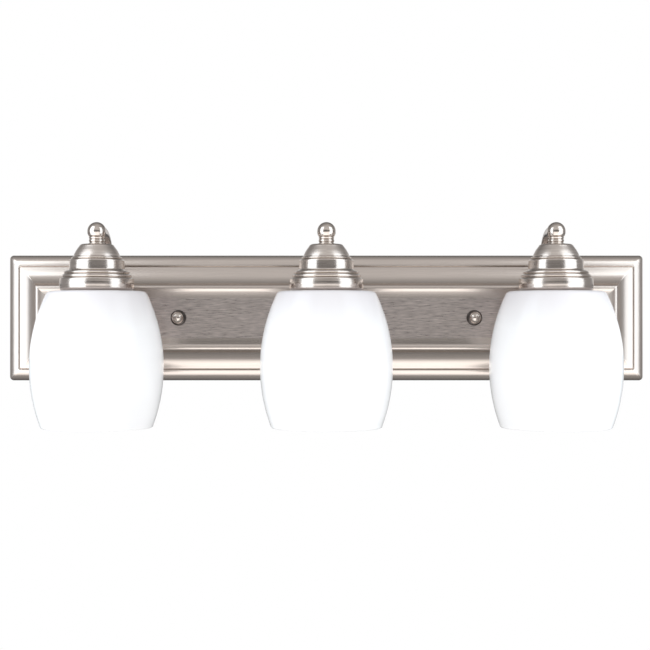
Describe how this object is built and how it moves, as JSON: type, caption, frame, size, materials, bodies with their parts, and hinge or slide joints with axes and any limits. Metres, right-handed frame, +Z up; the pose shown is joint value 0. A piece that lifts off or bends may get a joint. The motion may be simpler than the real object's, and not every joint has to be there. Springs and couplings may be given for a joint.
{
  "type": "vanity wall light bar",
  "caption": "Bathroom wall light bar: bell cups on bent tube arms carry open-bottomed barrel glass shades in front of a long moulded backplate.",
  "frame": {"origin": "on the wall plane, at the middle of the strap's two outlet-box slots", "axes": "+X along the bar to the right as seen from the room, +Y into the wall, +Z up"},
  "size_m": [0.6096, 0.1648, 0.1818],
  "materials": {
    "brushed_nickel": "brushed nickel plate",
    "opal_glass": "glossy opal white",
    "holder_phenolic": "moulded",
    "holder_brass": "bright stamped",
    "zinc_steel": "bright zinc plate",
    "frosted_glass": "frosted",
    "lamp_aluminium": "rolled thread",
    "black_glass": "vitrified",
    "black_insulation": "satin",
    "white_insulation": "satin",
    "bare_copper": "drawn",
    "orange_plastic": "moulded",
    "green_plastic": "moulded",
    "green_steel": "coated"
  },
  "bodies": {
    "fixture": {"arm_centre": "brushed_nickel", "arm_collar_centre": "brushed_nickel", "arm_collar_left": "brushed_nickel", "arm_collar_right": "brushed_nickel", "arm_left": "brushed_nickel", "arm_nuts": "zinc_steel", "arm_right": "brushed_nickel", "arm_washers": "zinc_steel", "backplate": "brushed_nickel", "ball_hub_centre": "brushed_nickel", "ball_hub_left": "brushed_nickel", "ball_hub_right": "brushed_nickel", "black_leads": "black_insulation", "cup_centre": "brushed_nickel", "cup_left": "brushed_nickel", "cup_nuts": "zinc_steel", "cup_right": "brushed_nickel", "ground_screw": "green_steel", "ground_wire": "bare_copper", "ground_wire_nut": "green_plastic", "holder_body_centre": "holder_phenolic", "holder_body_left": "holder_phenolic", "holder_body_right": "holder_phenolic", "holder_cap_centre": "holder_phenolic", "holder_cap_left": "holder_phenolic", "holder_cap_right": "holder_phenolic", "holder_contacts": "holder_brass", "holder_shell_centre": "holder_brass", "holder_shell_left": "holder_brass", "holder_shell_right": "holder_brass", "hot_wire_nut": "orange_plastic", "mounting_screws": "zinc_steel", "mounting_strap": "zinc_steel", "neck_collar_centre": "brushed_nickel", "neck_collar_left": "brushed_nickel", "neck_collar_right": "brushed_nickel", "neutral_wire_nut": "orange_plastic", "nipples": "zinc_steel", "screw_lock_nuts": "zinc_steel", "white_leads": "white_insulation"},
    "shade_left": {"shade_left": "opal_glass"},
    "ring_left": {"shade_ring_left": "zinc_steel"},
    "lamp_left": {"lamp_glass_left": "frosted_glass", "lamp_base_left": "lamp_aluminium", "lamp_insulator_left": "black_glass"},
    "shade_centre": {"shade_centre": "opal_glass"},
    "ring_centre": {"shade_ring_centre": "zinc_steel"},
    "lamp_centre": {"lamp_glass_centre": "frosted_glass", "lamp_base_centre": "lamp_aluminium", "lamp_insulator_centre": "black_glass"},
    "shade_right": {"shade_right": "opal_glass"},
    "ring_right": {"shade_ring_right": "zinc_steel"},
    "lamp_right": {"lamp_glass_right": "frosted_glass", "lamp_base_right": "lamp_aluminium", "lamp_insulator_right": "black_glass"},
    "washer_left": {"cap_washer_left": "brushed_nickel"},
    "nut_left": {"cap_nut_left": "brushed_nickel"},
    "washer_right": {"cap_washer_right": "brushed_nickel"},
    "nut_right": {"cap_nut_right": "brushed_nickel"}
  },
  "joints": [
    {"name": "shade_drop_left", "type": "slide", "parent": "fixture", "child": "shade_left", "axis": [0, 0, -1], "range_m": [0, 0.01]},
    {"name": "ring_turn_left", "type": "hinge", "parent": "shade_left", "child": "ring_left", "pos_m": [-0.2032, -0.106, 0.016], "axis": [0, 0, -1], "range_deg": [0, 1440.01]},
    {"name": "lamp_draw_left", "type": "slide", "parent": "fixture", "child": "lamp_left", "axis": [0, 0, -1], "range_m": [0, 0.14]},
    {"name": "shade_drop_centre", "type": "slide", "parent": "fixture", "child": "shade_centre", "axis": [0, 0, -1], "range_m": [0, 0.01]},
    {"name": "ring_turn_centre", "type": "hinge", "parent": "shade_centre", "child": "ring_centre", "pos_m": [0, -0.106, 0.016], "axis": [0, 0, -1], "range_deg": [0, 1440.01]},
    {"name": "lamp_draw_centre", "type": "slide", "parent": "fixture", "child": "lamp_centre", "axis": [0, 0, -1], "range_m": [0, 0.14]},
    {"name": "shade_drop_right", "type": "slide", "parent": "fixture", "child": "shade_right", "axis": [0, 0, -1], "range_m": [0, 0.01]},
    {"name": "ring_turn_right", "type": "hinge", "parent": "shade_right", "child": "ring_right", "pos_m": [0.2032, -0.106, 0.016], "axis": [0, 0, -1], "range_deg": [0, 1440.01]},
    {"name": "lamp_draw_right", "type": "slide", "parent": "fixture", "child": "lamp_right", "axis": [0, 0, -1], "range_m": [0, 0.14]},
    {"name": "nut_travel_left", "type": "slide", "parent": "fixture", "child": "washer_left", "axis": [0, -1, 0], "range_m": [0, 0.00794]},
    {"name": "nut_turn_left", "type": "hinge", "parent": "washer_left", "child": "nut_left", "pos_m": [-0.1397, -0.032, 0], "axis": [0, -1, 0], "range_deg": [0, 3601]},
    {"name": "nut_travel_right", "type": "slide", "parent": "fixture", "child": "washer_right", "axis": [0, -1, 0], "range_m": [0, 0.00794]},
    {"name": "nut_turn_right", "type": "hinge", "parent": "washer_right", "child": "nut_right", "pos_m": [0.1397, -0.032, 0], "axis": [0, -1, 0], "range_deg": [0, 3601]}
  ],
  "couplings": [
    {"joint": "ring_turn_left", "follows": "shade_drop_left", "rad_per_m": 2513.3},
    {"joint": "ring_turn_centre", "follows": "shade_drop_centre", "rad_per_m": 2513.3},
    {"joint": "ring_turn_right", "follows": "shade_drop_right", "rad_per_m": 2513.3},
    {"joint": "nut_turn_left", "follows": "nut_travel_left", "rad_per_m": 7915.8},
    {"joint": "nut_turn_right", "follows": "nut_travel_right", "rad_per_m": 7915.8}
  ]
}
